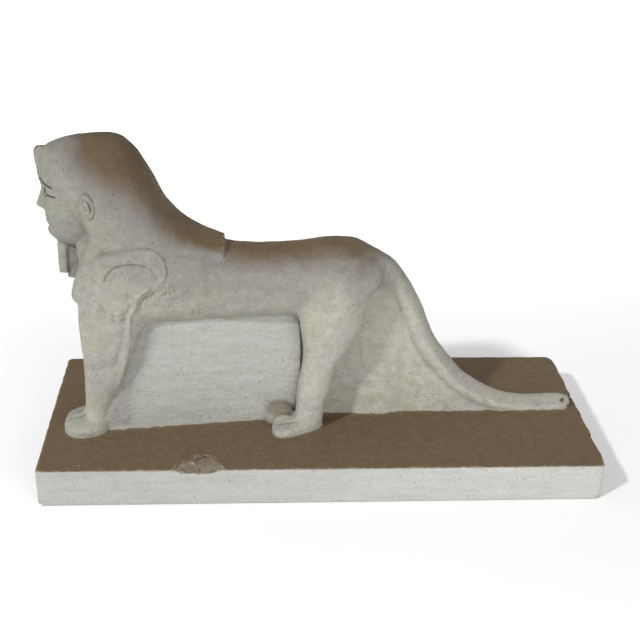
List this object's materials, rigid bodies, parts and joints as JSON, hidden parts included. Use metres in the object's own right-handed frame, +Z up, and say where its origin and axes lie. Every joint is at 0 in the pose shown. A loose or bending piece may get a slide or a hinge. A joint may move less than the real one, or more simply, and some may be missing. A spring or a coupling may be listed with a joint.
{
  "type": "sphinx statue",
  "caption": "Standing royal sphinx with a cloth headdress, long tail and filled legs, cast in one piece with its low plinth.",
  "frame": {"origin": "middle of the plinth's underside", "axes": "+Z up; +X along the plinth towards the tail, so the sphinx faces -X; +Y towards the sphinx's right side"},
  "size_m": [0.6, 0.232, 0.366],
  "materials": {
    "plaster": "matt toned plaster, dusty brown on its upward faces"
  },
  "bodies": {
    "root": {"sphinx_with_plinth": "plaster"}
  },
  "joints": []
}
